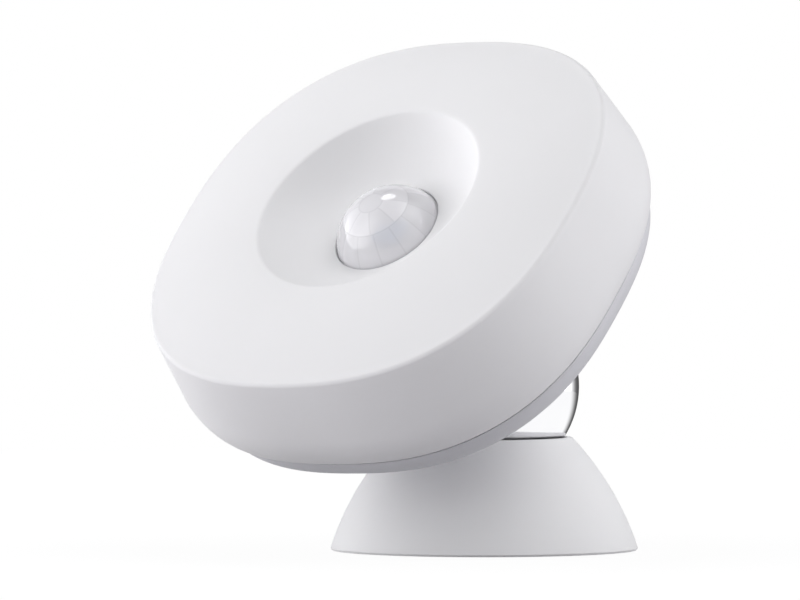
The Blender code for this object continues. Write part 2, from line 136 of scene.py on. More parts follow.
# The lens's cells: one in the middle and two rings round it, in degrees from the dome's centre
CELL_RINGS = ((26, 8, -50), (49, 13, -54))  # lean, count and first direction
CELL_HALF_WIDTH = 15
INNER_BORDER = 13.0  # lean of the border round the middle cell
OUTER_BORDER = 37.5  # lean of the border between the two rings
BORDER_HALF_WIDTH = 0.8
# Painted shade on the lens: cell borders are painted darker, standing in for the shade at the
# creases between cells, and each cell is painted a little darker at random
PAINTED_BORDER_SHADE = 0.92
CELL_PAINTED_SHADE_SHARE = 0.35  # how dark a cell is painted at most, as a share of a border's painted shade
CELL_CLEARNESS_SPREAD = 0.03
OUTER_CLEARNESS = 0.12  # the outer ring of cells is clearer
OUTER_NUMBERS = 40.0  # keeps the outer ring's cell numbers off the inner ring's

BOARD_BACK = 21.2
BOARD_FRONT = 22.4
BOARD_HALF_WIDTH = 22.4
SCREW_CIRCLE = 18.6
CELL_RADIUS = 12.25
CELL_BACK = 15.0
CELL_TOP = 20.0
CUP_RADIUS = 5.6
CUP_BORE = 4.2
CUP_TOP = 14.6
BUTTON_RADIUS = 2.4
BUTTON_OFFSET = 17.0
CHIP_PLACE = (-6.0, 13.0)

LARGE_STEPS = 176
MEDIUM_STEPS = 96
SMALL_STEPS = 40
SHARP_ANGLE = 36.0  # edges bent by more than this are shaded as corners


# ---- mesh helpers

def reach(exponent, angle):
    """Radius of a rounded square of half width 1 in this direction."""
    c, s = abs(math.cos(angle)), abs(math.sin(angle))
    return (c ** exponent + s ** exponent) ** (-1.0 / exponent)


def rounded(corners, closed=True):
    """Profile points from corners (radius, height[, setback[, exponent]]).

    The setback is how far from the corner its rounding starts.
    """
    points = []
    for i, corner in enumerate(corners):
        radius, height = corner[:2]
        setback = corner[2] if len(corner) > 2 else 0.0
        exponent = corner[3] if len(corner) > 3 else 2.0
        if setback == 0.0 or (not closed and i in (0, len(corners) - 1)):
            points.append((radius, height, exponent))
            continue
        here = Vector((radius, height))
        before = Vector(corners[i - 1][:2]) - here
        after = Vector(corners[(i + 1) % len(corners)][:2]) - here
        start = here + before.normalized() * min(setback, 0.48 * before.length)
        end = here + after.normalized() * min(setback, 0.48 * after.length)
        turn = math.pi - before.angle(after)
        count = max(3, round(turn / math.radians(14)))
        for k in range(count + 1):
            t = k / count
            p = start * (1 - t) ** 2 + here * (2 * t * (1 - t)) + end * t ** 2
            points.append((p.x, p.y, exponent))
    return points


def band(bm, lower, upper):
    """Faces between two rings of vertices, either of which may be a single pole."""
    faces = []
    steps = max(len(lower), len(upper))
    for i in range(steps):
        j = (i + 1) % steps
        if len(lower) == 1:
            corners = (lower[0], upper[i], upper[j])
        elif len(upper) == 1:
            corners = (lower[i], lower[j], upper[0])
        else:
            corners = (lower[i], lower[j], upper[j], upper[i])
        faces.append(bm.faces.new(corners))
    return faces


def turned(profile, steps=MEDIUM_STEPS, closed=True):
    """Solid of rings. A closed profile runs round an opening; an open one ends on the axis."""
    bm = bmesh.new()
    rings = []
    for point in profile:
        radius, height = point[:2]
        exponent = point[2] if len(point) > 2 else 2.0
        if radius < 1e-6:
            rings.append([bm.verts.new((0, 0, height))])
            continue
        ring = []
        for step in range(steps):
            angle = 2 * math.pi * step / steps
            r = radius * (1.0 if exponent == 2.0 else reach(exponent, angle))
            ring.append(bm.verts.new((r * math.cos(angle), r * math.sin(angle), height)))
        rings.append(ring)
    pairs = list(zip(rings, rings[1:]))
    if closed:
        pairs.append((rings[-1], rings[0]))
    for lower, upper in pairs:
        band(bm, lower, upper)
    return bm


def disc(corners, steps=MEDIUM_STEPS):
    """Turned solid without an opening: the corners start and end on the axis."""
    return turned(rounded(corners, closed=False), steps, closed=False)


def ring(corners, steps=MEDIUM_STEPS):
    """Turned solid round an opening."""
    return turned(rounded(corners), steps)


def block(low, high, bevel=0.0, segments=3):
    """Box with rounded edges."""
    bm = bmesh.new()
    bmesh.ops.create_cube(bm, size=1.0)
    for vertex in bm.verts:
        for axis in range(3):
            middle = (low[axis] + high[axis]) / 2
            vertex.co[axis] = middle + vertex.co[axis] * (high[axis] - low[axis])
    if bevel:
        bmesh.ops.bevel(bm, geom=bm.edges[:], offset=bevel, segments=segments,
                        affect="EDGES", profile=0.5)
    return bm


def moved(bm, x=0.0, y=0.0, z=0.0, spin=0.0):
    """bm spun by so many degrees about the axis, then shifted."""
    bm.transform(Matrix.Translation((x, y, z)) @ Matrix.Rotation(math.radians(spin), 4, "Z"))
    return bm


def joined(parts):
    """One bmesh from several."""
    whole = bmesh.new()
    for part in parts:
        mesh = bpy.data.meshes.new("part")
        part.to_mesh(mesh)
        part.free()
        whole.from_mesh(mesh)
        bpy.data.meshes.remove(mesh)
    return whole


def on_circle(radius, count=3, start=90.0):
    """Places spaced evenly round a circle, the first in the start direction."""
    angles = [math.radians(start + 360.0 * index / count) for index in range(count)]
    return [(radius * math.cos(angle), radius * math.sin(angle)) for angle in angles]


def placed(name, data):
    """New object in the scene."""
    item = bpy.data.objects.new(name, data)
    bpy.context.scene.collection.objects.link(item)
    return item


def solid(name, bm, place=Matrix.Identity(4)):
    """New object in the scene made from a bmesh, its faces turned outwards."""
    bmesh.ops.recalc_face_normals(bm, faces=bm.faces)
    bm.transform(place)
    mesh = bpy.data.meshes.new(name)
    bm.to_mesh(mesh)
    bm.free()
    return placed(name, mesh)


def carved(bm, cutters):
    """bm with the cutters taken out of it."""
    body = solid("body", bm)
    tools = [solid("tool", cutter) for cutter in cutters]
    for tool in tools:
        body.modifiers.new("carve", "BOOLEAN").object = tool
    graph = bpy.context.evaluated_depsgraph_get()
    result = bmesh.new()
    result.from_mesh(body.evaluated_get(graph).to_mesh())
    for item in [body, *tools]:
        bpy.data.objects.remove(item, do_unlink=True)
    return result


def piece(name, bm, material, body, stands_for=(), place=HEAD):
    """Turn a bmesh in millimetres into a named piece that rides on a CAD body."""
    item = solid(name, bm, place)
    item.data.materials.append(material)
    item.data.shade_smooth()
    item.data.set_sharp_from_angle(angle=math.radians(SHARP_ANGLE))
    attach(item, body)
    if stands_for:
        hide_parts(*stands_for)
    return item


# ---- materials

class Finish:
    """A material with small helpers for wiring its nodes."""

    def __init__(self, name, color, roughness, metallic=0.0, specular=0.5):
        self.material = bpy.data.materials.new(name)
        self.material.use_nodes = True
        self.tree = self.material.node_tree
        self.shader = self.tree.nodes["Principled BSDF"]
        self.set("Base Color", (*color, 1.0))
        self.set("Roughness", roughness)
        self.set("Metallic", metallic)
        self.set("Specular IOR Level", specular)
        self.place = self.tree.nodes.new("ShaderNodeTexCoord").outputs["Object"]

    def set(self, socket, value):
        self.shader.inputs[socket].default_value = value

    def node(self, kind, **settings):
        made = self.tree.nodes.new(kind)
        for key, value in settings.items():
            setattr(made, key, value)
        return made

    def link(self, source, target):
        self.tree.links.new(source, target)

    def drive(self, socket, source):
        self.link(source, self.shader.inputs[socket])

    def maths(self, operation, first, second=0.0):
        return maths(self.tree, operation, first, second)

    def stretched(self, scale):
        """Coordinates scaled per axis."""
        mapping = self.node("ShaderNodeMapping")
        mapping.inputs["Scale"].default_value = scale
        self.link(self.place, mapping.inputs["Vector"])
        return mapping.outputs["Vector"]

    def noise(self, per_metre, detail=2.0, place=None):
        made = self.node("ShaderNodeTexNoise")
        made.inputs["Scale"].default_value = per_metre
        made.inputs["Detail"].default_value = detail
        self.link(place or self.place, made.inputs["Vector"])
        return made.outputs["Fac"]

    def between(self, factor, low, high):
        """A number that runs from low to high as factor runs from 0.3 to 0.7."""
        span = self.node("ShaderNodeMapRange")
        span.inputs["From Min"].default_value = 0.3
        span.inputs["From Max"].default_value = 0.7
        span.inputs["To Min"].default_value = low
        span.inputs["To Max"].default_value = high
        self.link(factor, span.inputs["Value"])
        return span.outputs["Result"]

    def blend(self, factor, first, second):
        """A colour between two."""
        mix = self.node("ShaderNodeMix", data_type="RGBA")
        mix.inputs["A"].default_value = (*first, 1.0)
        mix.inputs["B"].default_value = (*second, 1.0)
        self.link(factor, mix.inputs["Factor"])
        return mix.outputs["Result"]

    def bump(self, height, depth):
        """Surface relief of this many metres."""
        made = self.node("ShaderNodeBump")
        made.inputs["Strength"].default_value = 1.0
        made.inputs["Distance"].default_value = depth
        self.link(height, made.inputs["Height"])
        self.link(made.outputs["Normal"], self.shader.inputs["Normal"])


def operation_node(tree, kind, operation, values):
    """Node that does an operation on values, each of them fixed or a socket."""
    made = tree.nodes.new(kind)
    made.operation = operation
    for socket, value in zip(made.inputs, values):
        if isinstance(value, bpy.types.NodeSocket):
            tree.links.new(value, socket)
        else:
            socket.default_value = value
    return made


def maths(tree, operation, first, second=0.0):
    """Result of an operation on numbers."""
    return operation_node(tree, "ShaderNodeMath", operation, (first, second)).outputs[0]


def vector_maths(tree, operation, *values):
    """Node that does an operation on vectors."""
    return operation_node(tree, "ShaderNodeVectorMath", operation, values)


def moulded(name, color, roughness, grain=0.000004, specular=0.5):
    """Moulded plastic: faint cloudiness, and a fine eroded grain."""
    finish = Finish(name, color, roughness, specular=specular)
    darker = tuple(c * 0.975 for c in color)
    clouds = finish.noise(90.0, 3.0)
    finish.drive("Base Color", finish.blend(clouds, darker, color))
    fine = finish.noise(5200.0, 3.0)
    finish.drive("Roughness", finish.between(fine, roughness - 0.05, roughness + 0.06))
    finish.bump(fine, grain)
    return finish


def metal(name, color, roughness, brush=(1.0, 1.0, 1.0), depth=0.000001):
    """Metal with a fine, partly directional finish and slight tarnish."""
    finish = Finish(name, color, roughness, metallic=1.0)
    duller = tuple(c * 0.86 for c in color)
    finish.drive("Base Color", finish.blend(finish.noise(420.0, 4.0), duller, color))
    lines = finish.noise(3000.0, 3.0, finish.stretched(brush))
    finish.drive("Roughness", finish.between(lines, roughness * 0.75, roughness * 1.3))
    finish.bump(lines, depth)
    return finish.material


def shell_plastic(name, color, roughness=0.58):
    finish = moulded(name, color, roughness, grain=0.000005)
    finish.set("Subsurface Weight", 0.12)
    finish.set("Subsurface Radius", (1.0, 0.96, 0.93))
    finish.set("Subsurface Scale", 0.0012)
    return finish.material


def lens_directions(finish):
    """Lean from the lens's axis and turn about it, in degrees, seen from the dome's centre."""
    location, rotation, scale = HEAD.inverted().decompose()
    local = finish.node("ShaderNodeMapping")
    local.inputs["Location"].default_value = location - Vector((0, 0, LENS_TOP - LENS_CURVE))
    local.inputs["Rotation"].default_value = rotation.to_euler()
    local.inputs["Scale"].default_value = scale
    finish.link(finish.place, local.inputs["Vector"])
    way = vector_maths(finish.tree, "NORMALIZE", local.outputs["Vector"])
    split = finish.node("ShaderNodeSeparateXYZ")
    finish.link(way.outputs["Vector"], split.inputs["Vector"])
    x, y, z = split.outputs
    lean = finish.maths("MULTIPLY", finish.maths("ARCCOSINE", z), math.degrees(1))
    turn = finish.maths("MULTIPLY", finish.maths("ARCTAN2", y, x), math.degrees(1))
    return lean, turn


def lens_cell_pattern(finish):
    """Masks of the borders between cells and of the outer ring, and a chance number per cell; the
    border mask and the chance set where shade is painted on the lens.
    """
    lean, turn = lens_directions(finish)
    ringed = finish.maths("GREATER_THAN", lean, INNER_BORDER)
    outer = finish.maths("GREATER_THAN", lean, OUTER_BORDER)
    pitches, places = [], []
    for _, count, start in CELL_RINGS:
        pitch = 360.0 / count
        from_first_side = finish.maths("SUBTRACT", turn, start - pitch / 2)
        pitches.append(pitch)
        places.append(finish.maths("DIVIDE", from_first_side, pitch))
    change = finish.maths("SUBTRACT", places[1], places[0])
    place = finish.maths("ADD", places[0], finish.maths("MULTIPLY", change, outer))
    change = finish.maths("MULTIPLY", outer, pitches[1] - pitches[0])
    pitch = finish.maths("ADD", pitches[0], change)
    from_side = finish.maths("MULTIPLY", finish.maths("PINGPONG", place, 0.5), pitch)
    narrowing = finish.maths("SINE", finish.maths("RADIANS", lean))
    from_side = finish.maths("MULTIPLY", from_side, narrowing)
    near_side = finish.maths("LESS_THAN", from_side, BORDER_HALF_WIDTH)
    border = finish.maths("MULTIPLY", near_side, ringed)
    for limit in (INNER_BORDER, OUTER_BORDER):
        apart = finish.maths("ABSOLUTE", finish.maths("SUBTRACT", lean, limit))
        near = finish.maths("LESS_THAN", apart, BORDER_HALF_WIDTH)
        border = finish.maths("MAXIMUM", border, near)
    number = finish.maths("MULTIPLY", finish.maths("FLOOR", place), ringed)
    number = finish.maths("ADD", number, finish.maths("MULTIPLY", outer, OUTER_NUMBERS))
    chance = finish.node("ShaderNodeTexWhiteNoise", noise_dimensions="1D")
    finish.link(number, chance.inputs["W"])
    return border, outer, chance.outputs["Value"]


def lens_plastic(name, color, clearness, dull, shiny, patterned=False):
    """Milky polyethylene: part of it scatters, the rest lets a picture of the sensor through."""
    finish = Finish(name, color, dull)
    finish.set("IOR", 1.53)
    finish.set("Transmission Weight", clearness)
    if patterned:
        border, outer, chance = lens_cell_pattern(finish)
        # Painted shade: the borders and, at random, whole cells are painted darker, standing in for
        # the shade at the cells' creases and facets
        shade = finish.maths("MAXIMUM", border, finish.maths("MULTIPLY", chance, CELL_PAINTED_SHADE_SHARE))
        darker = tuple(c * PAINTED_BORDER_SHADE for c in color)
        finish.drive("Base Color", finish.blend(shade, color, darker))
        clear = finish.between(chance, clearness - CELL_CLEARNESS_SPREAD,
                               clearness + CELL_CLEARNESS_SPREAD)
        clear = finish.maths("ADD", clear, finish.maths("MULTIPLY", outer, OUTER_CLEARNESS))
        finish.drive("Transmission Weight", clear)
    clouds = finish.noise(900.0, 2.0)
    finish.drive("Roughness", finish.between(clouds, shiny, dull))
    finish.bump(finish.noise(2600.0, 2.0), 0.0000005)
    return finish.material


def polished_ball():
    finish = Finish("ball_chrome", (0.93, 0.93, 0.945), 0.03, metallic=1.0)
    haze = finish.noise(700.0, 4.0)
    finish.drive("Roughness", finish.between(haze, 0.015, 0.045))
    clouds = finish.noise(160.0, 2.0)
    finish.drive("Base Color", finish.blend(clouds, (0.90, 0.90, 0.92), (0.95, 0.95, 0.96)))
    return finish.material


def rubber(name, color, roughness):
    return moulded(name, color, roughness, grain=0.00002, specular=0.35).material


def solder_mask():
    """Green lacquer over copper tracks that run straight and turn in steps."""
    finish = Finish("board_green", (0.02, 0.16, 0.07), 0.32)
    bricks = finish.node("ShaderNodeTexBrick", offset=0.37, squash=0.6, squash_frequency=3)
    for socket, value in (("Scale", 330.0), ("Mortar Size", 0.045), ("Mortar Smooth", 0.25),
                          ("Brick Width", 1.7), ("Row Height", 0.42)):
        bricks.inputs[socket].default_value = value
    finish.link(finish.place, bricks.inputs["Vector"])
    tracks = bricks.outputs["Fac"]
    finish.drive("Base Color", finish.blend(tracks, (0.015, 0.13, 0.055), (0.04, 0.24, 0.10)))
    finish.bump(tracks, 0.00003)
    return finish.material


def silicon_window():
    finish = Finish("window_silicon", (0.01, 0.36, 0.80), 0.16)
    finish.drive("Roughness", finish.between(finish.noise(1500.0, 2.0), 0.1, 0.22))
    finish.set("Coat Weight", 0.4)
    return finish.material


def build_materials():
    return {
        "shell": shell_plastic("shell_white", (0.845, 0.842, 0.852)),
        # The rear cover is the shell's white plastic painted darker and a little bluer: painted
        # shade on a cover that faces the floor
        "cover": shell_plastic("cover_white", (0.67, 0.67, 0.70)),
        # The foot is the same white plastic painted lighter than the shell: painted light on the
        # foot
        "foot": shell_plastic("foot_white", (0.935, 0.932, 0.94)),
        "button": shell_plastic("button_white", (0.78, 0.785, 0.80), 0.4),
        "lens": lens_plastic("lens_milk", (0.98, 0.97, 1.0), 0.20, 0.08, 0.05, True),
        "lens_inside": lens_plastic("lens_inside", (0.97, 0.975, 0.98), 1.0, 0.10, 0.06),
        "inner": moulded("inner_plastic", (0.74, 0.74, 0.75), 0.5).material,
        "black": moulded("black_plastic", (0.025, 0.025, 0.027), 0.42, 0.00001).material,
        "ball": polished_ball(),
        "steel": metal("steel", (0.62, 0.62, 0.635), 0.28, (1.0, 0.1, 1.0), 0.0000002),
        "screw": metal("screw_steel", (0.50, 0.50, 0.52), 0.3),
        "cell": metal("cell_metal", (0.74, 0.74, 0.75), 0.2, (0.2, 1.0, 1.0)),
        "contact": metal("contact_metal", (0.74, 0.68, 0.52), 0.28, (1.0, 0.15, 1.0)),
        "magnet": metal("magnet", (0.58, 0.58, 0.60), 0.22),
        "seat": rubber("seat_rubber", (0.52, 0.52, 0.53), 0.55),
        "pad": rubber("pad_rubber", (0.13, 0.13, 0.14), 0.72),
        "board": solder_mask(),
        "window": silicon_window(),
        "led": moulded("led_resin", (0.88, 0.86, 0.66), 0.25, 0.000002).material,
        "ceramic": moulded("part_ceramic", (0.42, 0.33, 0.24), 0.35, 0.000003).material,
        "tin": metal("solder_tin", (0.70, 0.70, 0.71), 0.25),
    }


# ---- foot

def arc(start, end, bulge, count):
    """Circular arc of profile points from start to end, swelling outwards by bulge."""
    chord = math.dist(start, end)
    radius = (chord / 2) ** 2 / (2 * bulge) + bulge / 2
    half_angle = math.asin(chord / 2 / radius)
    along = Vector((end[0] - start[0], end[1] - start[1])) / chord
    outward = Vector((along.y, -along.x))
    points = []
    for i in range(count + 1):
        a = half_angle * (2 * i / count - 1)
        swell = radius * math.cos(a) - (radius - bulge)
        p = Vector(start) + along * (chord / 2 + radius * math.sin(a)) + outward * swell
        points.append((p.x, p.y))
    return points


def build_foot_shell(finish):
    """Domed shell with a well for the ball, and three posts for the screws."""
    low = 0.05
    flank = arc((FOOT_RADIUS, 0.3), (FOOT_RIM_RADIUS, FOOT_HEIGHT - 0.12), FOOT_BULGE, 30)
    inner = arc((PLATE_RADIUS + 0.1, 3.2), (SEAT_RADIUS, 8.0), 0.6, 6)
    corners = [(FOOT_RADIUS - 0.12, low, 0.08)] + flank
    corners += [(FOOT_RIM_RADIUS - 0.15, FOOT_HEIGHT, 0.08), (MOUTH_RADIUS, FOOT_HEIGHT, 0.1),
                (MOUTH_RADIUS, FOOT_HEIGHT - 0.3, 0.05), (WELL_RADIUS, FOOT_HEIGHT - 0.5),
                (WELL_RADIUS, WELL_FLOOR), (6.0, WELL_FLOOR, 0.2), (6.0, 8.0, 0.2)]
    corners += list(reversed(inner)) + [(PLATE_RADIUS + GAP, PLATE_TOP + GAP),
                                        (PLATE_RADIUS + GAP, low, 0.1)]
    parts = [ring(corners, LARGE_STEPS)]
    for x, y in on_circle(FOOT_SCREW_CIRCLE):
        post = ring([(2.1, PLATE_TOP + GAP, 0.1), (2.1, 8.2), (1.15, 8.2),
                     (1.15, PLATE_TOP + GAP, 0.1)], SMALL_STEPS)
        parts.append(moved(post, x, y))
    piece("foot_shell", joined(parts), finish["foot"], "foot", ["base_shell"], FOOT)


def build_foot_plate(finish):
    plate = ring([(0.9, PLATE_BOTTOM, 0.1), (PLATE_RADIUS, PLATE_BOTTOM, 0.25),
                  (PLATE_RADIUS, PLATE_TOP, 0.25), (0.9, PLATE_TOP, 0.1)], LARGE_STEPS)
    holes = []
    for x, y in on_circle(FOOT_SCREW_CIRCLE):
        holes.append(moved(disc([(0, 0), (1.25, 0), (1.25, 4), (0, 4)], SMALL_STEPS), x, y))
        holes.append(moved(disc([(0, 0), (2.2, 0), (2.2, 2.0), (0, 2.0)], SMALL_STEPS), x, y))
    piece("foot_plate", carved(plate, holes), finish["steel"], "foot",
          ["base_plate"], FOOT)


def build_foot_magnet(finish):
    low, high = PLATE_TOP + GAP, 7.7
    magnet = disc([(0, low), (FOOT_MAGNET_RADIUS, low, 0.35), (FOOT_MAGNET_RADIUS, high, 0.35),
                   (0, high)])
    piece("foot_magnet", magnet, finish["magnet"], "foot", ["base_magnet"], FOOT)


def build_foot_pad(finish):
    corners = [(0, 0)]
    for groove in (4.0, 8.0, 12.0):
        corners += [(groove - 0.35, 0, 0.1), (groove - 0.2, 0.3, 0.1), (groove + 0.2, 0.3, 0.1),
                    (groove + 0.35, 0, 0.1)]
    corners += [(PAD_RADIUS, 0, 0.3), (PAD_RADIUS, PAD_TOP, 0.2), (0, PAD_TOP)]
    piece("foot_grip", disc(corners, LARGE_STEPS), finish["pad"], "foot",
          ["foot_pad"], FOOT)


def build_foot_screws(finish):
    for number, (x, y) in enumerate(on_circle(FOOT_SCREW_CIRCLE), 1):
        piece(f"foot_screw_{number}", moved(screw(1.9, 0.5, 0.85, 5.2), x, y, PLATE_BOTTOM),
              finish["screw"], "foot", [f"base_screw_{number}"], FOOT)


def screw(head_radius, head_length, shank_radius, shank_length):
    """Pan-head screw with a cross recess and threads, its shank pointing up."""
    pitch, depth = 0.7, 0.12
    corners = [(0, 0), (head_radius * 0.72, 0, 0.2), (head_radius, head_length * 0.35, 0.12),
               (head_radius, head_length, 0.05), (shank_radius, head_length)]
    height = head_length + 0.4
    while height + pitch < head_length + shank_length - 0.8:
        corners += [(shank_radius - depth, height), (shank_radius, height + pitch * 0.35),
                    (shank_radius - depth, height + pitch * 0.7)]
        height += pitch
    corners += [(shank_radius - depth, height + 0.1),
                (0.15, head_length + shank_length, 0.05), (0, head_length + shank_length)]
    arm, width, cut = head_radius * 0.58, head_radius * 0.13, head_length * 0.5
    cutters = [block((-arm, -width, -1), (arm, width, cut)),
               block((-width, -arm, -1), (width, arm, cut * 0.98))]
    return carved(disc(corners, SMALL_STEPS), cutters)


def build_seat(finish):
    """Ring that cups the ball, with a rounded lip."""
    cup = BALL_RADIUS + SEAT_GAP
    corners = [(SEAT_RADIUS, SEAT_BOTTOM, 0.15), (SEAT_RADIUS, SEAT_TOP, 0.15)]
    for i in range(17):
        height = SEAT_TOP + (SEAT_BOTTOM - SEAT_TOP) * i / 16
        corners.append((math.sqrt(cup ** 2 - (BALL_CENTRE - height) ** 2), height))
    piece("seat_ring", ring(corners), finish["seat"], "seat", ["ball_seat"], FOOT)


def build_ball(finish):
    count = 64
    profile = [(0, -BALL_RADIUS)]
    for i in range(1, count):
        a = math.pi * i / count
        profile.append((BALL_RADIUS * math.sin(a), -BALL_RADIUS * math.cos(a)))
    profile.append((0, BALL_RADIUS))
    piece("ball", turned(profile, 128, closed=False), finish["ball"], "ball",
          ["steel_ball"])


# ---- head shells

def front_surface():
    """Bowl from the lens hole to its rim, then the crowned face out to the front fillet."""
    corners = [(LENS_HOLE_RADIUS, LENS_BASE, 0.22)]
    for i in range(1, 24):
        share = i / 24
        radius = LENS_HOLE_RADIUS + (DISH_RADIUS - LENS_HOLE_RADIUS) * share
        corners.append((radius, RIM_HEIGHT - DISH_DEPTH * (1 - share ** 1.8)))
    corners.append((DISH_RADIUS, RIM_HEIGHT, 0.55))
    edge = FRONT_HALF_WIDTH - FRONT_FILLET
    for i in range(1, 17):
        share = i / 16
        radius = DISH_RADIUS + (edge - DISH_RADIUS) * share
        exponent = 2.0 + (FACE_EXPONENT - 2.0) * share
        corners.append((radius, RIM_HEIGHT - FACE_SAG * share ** 2, 0.0, exponent))
    return corners


def outer_wall():
    """Front fillet, side wall and the rounding down to the parting line."""
    edge_height = RIM_HEIGHT - FACE_SAG
    face_slope = math.atan(2 * FACE_SAG / (FRONT_HALF_WIDTH - FRONT_FILLET - DISH_RADIUS))
    corners = []
    for i in range(1, 15):
        a = face_slope + (math.pi / 2 - face_slope) * i / 14
        corners.append((FRONT_HALF_WIDTH - FRONT_FILLET * (1 - math.sin(a)),
                        edge_height - FRONT_FILLET * (math.cos(face_slope) - math.cos(a)),
                        0.0, FACE_EXPONENT))
    drop = HALF_WIDTH - PARTING_HALF_WIDTH
    last = math.radians(75)
    for i in range(13):
        a = last * i / 12
        corners.append((HALF_WIDTH - drop * (1 - math.cos(a)) / (1 - math.cos(last)),
                        PARTING + PARTING_ROUNDING * (1 - math.sin(a) / math.sin(last)),
                        0.0, BACK_EXPONENT))
    corners[-1] = (*corners[-1][:2], 0.12, BACK_EXPONENT)
    return corners


def build_housing(finish):
    """Front shell: bowl with the lens hole, step for the cover's lip, three ribbed screw posts."""
    wide = HALF_WIDTH - 1.8
    narrow = LIP_HALF_WIDTH + LIP_GAP
    ceiling = RIM_HEIGHT - FACE_SAG - FRONT_FILLET - 0.4
    dish_under = LENS_BASE - 1.4
    corners = front_surface() + outer_wall()
    corners += [(narrow, PARTING, 0.1, BACK_EXPONENT),
                (narrow, LIP_TOP + 0.4, 0.1, BACK_EXPONENT),
                (wide, LIP_TOP + 2.4, 0.4, BACK_EXPONENT),
                (wide, ceiling - 1.0, 0.6, FACE_EXPONENT),
                (wide - 1.0, ceiling, 0.5, FACE_EXPONENT),
                (DISH_RADIUS + 2.4, ceiling + 1.2, 0.6), (DISH_RADIUS + 0.4, ceiling - 0.4, 0.5),
                (9.2, dish_under, 0.4), (LENS_HOLE_RADIUS, dish_under)]
    parts = [ring(corners, LARGE_STEPS)]
    for index, (x, y) in enumerate(on_circle(SCREW_CIRCLE)):
        boss = ring([(2.0, 22.7, 0.12), (2.0, ceiling + 1.5), (1.0, ceiling + 1.5),
                     (1.0, 22.7, 0.1)], SMALL_STEPS)
        parts.append(moved(boss, x, y))
        for side in range(3):
            rib = block((1.9, -0.35, 25.0), (3.4, 0.35, ceiling + 1.0), 0.1, 2)
            parts.append(moved(rib, x, y, spin=90 + 120 * index + 120 * side))
    piece("front_shell", joined(parts), finish["shell"], "front",
          ["front_housing"])


def build_cover(finish):
    """Rear shell: sleeve round the magnet cup, hole for the button, lip inside the front shell."""
    top = PARTING - PARTING_GAP
    floor = BACK + 1.6
    hole = CUP_RADIUS + GAP
    drop = PARTING_HALF_WIDTH - BACK_HALF_WIDTH
    corners = [(LIP_HALF_WIDTH, top, 0.0, BACK_EXPONENT),
               (PARTING_HALF_WIDTH, top, 0.1, BACK_EXPONENT)]
    for i in range(1, 25):
        a = math.pi / 2 * i / 24
        corners.append((BACK_HALF_WIDTH + drop * math.cos(a), top + (BACK - top) * math.sin(a),
                        0.0, BACK_EXPONENT))
    recess = BACK + RECESS_DEPTH
    corners += [(RECESS_RADIUS, BACK, 0.08), (RECESS_RADIUS - RECESS_DEPTH, recess, 0.08),
                (hole + 0.6, recess, 0.25), (hole, recess + 0.5, 0.25), (hole, CUP_TOP),
                (hole + 1.4, CUP_TOP, 0.2), (hole + 1.6, floor, 0.3),
                (BACK_HALF_WIDTH - 1.0, floor, 0.6, BACK_EXPONENT),
                (LIP_HALF_WIDTH - 1.2, top - 0.6, 0.4, BACK_EXPONENT),
                (LIP_HALF_WIDTH - 1.2, LIP_TOP, 0.1, BACK_EXPONENT),
                (LIP_HALF_WIDTH - 0.1, LIP_TOP, 0.3, BACK_EXPONENT)]
    shell = ring(corners, LARGE_STEPS)
    reach_of_button = BUTTON_RADIUS + BUTTON_GAP
    hole_for_button = disc([(0, BACK - 1), (reach_of_button, BACK - 1),
                            (reach_of_button, floor + 1), (0, floor + 1)], 64)
    shell = carved(shell, [moved(hole_for_button, 0, -BUTTON_OFFSET)])
    piece("back_shell", shell, finish["cover"], "cover", ["rear_cover"])


def build_button(finish):
    """Dished cap with a stem that ends short of the switch."""
    face = BACK + 0.2
    profile = [(0, face + 0.16), (BUTTON_RADIUS * 0.6, face + 0.08, 0.6),
               (BUTTON_RADIUS - 0.35, face, 0.15), (BUTTON_RADIUS, face + 0.3, 0.2),
               (BUTTON_RADIUS, 12.6, 0.15), (1.2, 12.6, 0.1), (1.2, 18.3, 0.2), (0, 18.3)]
    piece("link_button", moved(disc(profile, 64), 0, -BUTTON_OFFSET), finish["button"],
          "button", ["pairing_button"])


def build_switch(finish):
    base = BOARD_BACK - GAP
    body = block((-2.2, -2.2, base - 1.4), (2.2, 2.2, base - 0.25), 0.18)
    foot = block((-2.6, -1.6, base - 0.3), (2.6, 1.6, base), 0.05, 1)
    plunger = disc([(0, base - 2.0), (1.1, base - 2.0, 0.15), (1.1, base - 1.0), (0, base - 1.0)],
                   SMALL_STEPS)
    rivets = []
    for x in (-1.6, 1.6):
        for y in (-1.6, 1.6):
            rivet = disc([(0, base - 1.5), (0.22, base - 1.5, 0.05), (0.22, base - 1.2),
                          (0, base - 1.2)], 16)
            rivets.append(moved(rivet, x, y))
    piece("push_switch", moved(joined([body, foot, plunger, *rivets]), 0, -BUTTON_OFFSET),
          finish["black"], "front", ["tact_switch"])


def build_magnet(finish):
    reach_of_ball = BALL_RADIUS + CUP_GAP

    def over_ball(radius):
        return math.sqrt(reach_of_ball ** 2 - radius ** 2)

    corners = [(CUP_BORE, over_ball(CUP_BORE), 0.05)]
    corners += [(radius, over_ball(radius)) for radius in (4.5, 4.8, 5.1, 5.35)]
    corners += [(CUP_RADIUS, over_ball(CUP_RADIUS), 0.08), (CUP_RADIUS, CUP_TOP, 0.4),
                (1.0, CUP_TOP, 0.1), (1.0, CUP_TOP - 1.0, 0.1), (CUP_BORE, CUP_TOP - 1.0, 0.1)]
    piece("magnet_cup", ring(corners), finish["steel"], "magnet", ["pole_cup"])
    radius, low, high = CUP_BORE - GAP, 11.6, CUP_TOP - 1.0 - GAP
    magnet = disc([(0, low), (radius, low, 0.25), (radius, high, 0.25), (0, high)])
    piece("ball_magnet", magnet, finish["magnet"], "magnet", ["head_magnet"])


# ---- lens and sensor

